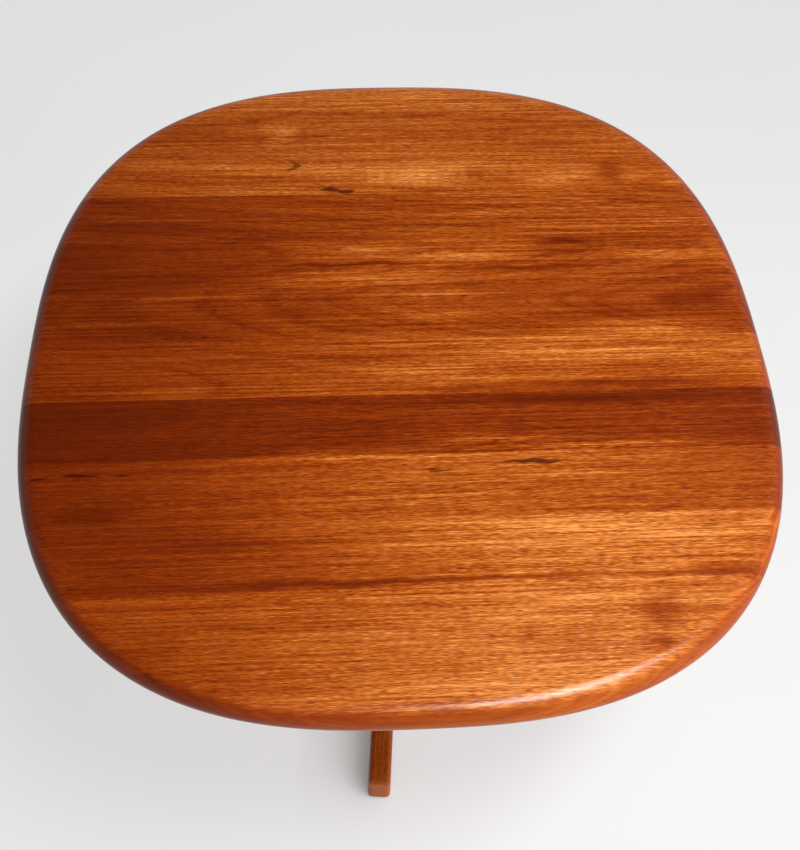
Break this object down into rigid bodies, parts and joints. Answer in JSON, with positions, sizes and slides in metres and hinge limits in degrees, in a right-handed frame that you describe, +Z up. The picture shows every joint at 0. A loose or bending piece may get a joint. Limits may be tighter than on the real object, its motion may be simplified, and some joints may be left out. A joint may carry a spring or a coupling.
{
  "type": "pedestal coffee table",
  "caption": "Solid teak pedestal coffee table: an edge-glued rounded-square top with a soft rim, on a square post with sweeping feet.",
  "frame": {"origin": "on the floor, under the middle of the top", "axes": "+X along the grain of the top, +Y across the grain to the back, +Z up"},
  "size_m": [0.8, 0.845, 0.51],
  "materials": {
    "teak_top": "oiled satin teak, boards of varied tone with long open pores",
    "teak_base": "oiled satin teak, reddish brown",
    "beech_dowel": "raw beech",
    "zinc_steel": "bright zinc plated",
    "glide_plastic": "moulded brown nylon"
  },
  "bodies": {
    "root": {"top_board_01": "teak_top", "top_board_02": "teak_top", "top_board_03": "teak_top", "top_board_04": "teak_top", "top_board_05": "teak_top", "top_board_06": "teak_top", "top_board_07": "teak_top", "top_board_08": "teak_top", "top_board_09": "teak_top", "top_board_10": "teak_top", "top_board_11": "teak_top", "top_board_12": "teak_top", "bearer_along_grain": "teak_base", "bearer_across_grain": "teak_base", "post": "teak_base", "foot_front": "teak_base", "foot_right": "teak_base", "foot_back": "teak_base", "foot_left": "teak_base", "foot_dowels": "beech_dowel", "top_screws": "zinc_steel", "lag_screw": "zinc_steel", "lag_washer": "zinc_steel", "glide_front": "glide_plastic", "glide_right": "glide_plastic", "glide_back": "glide_plastic", "glide_left": "glide_plastic"}
  },
  "joints": []
}
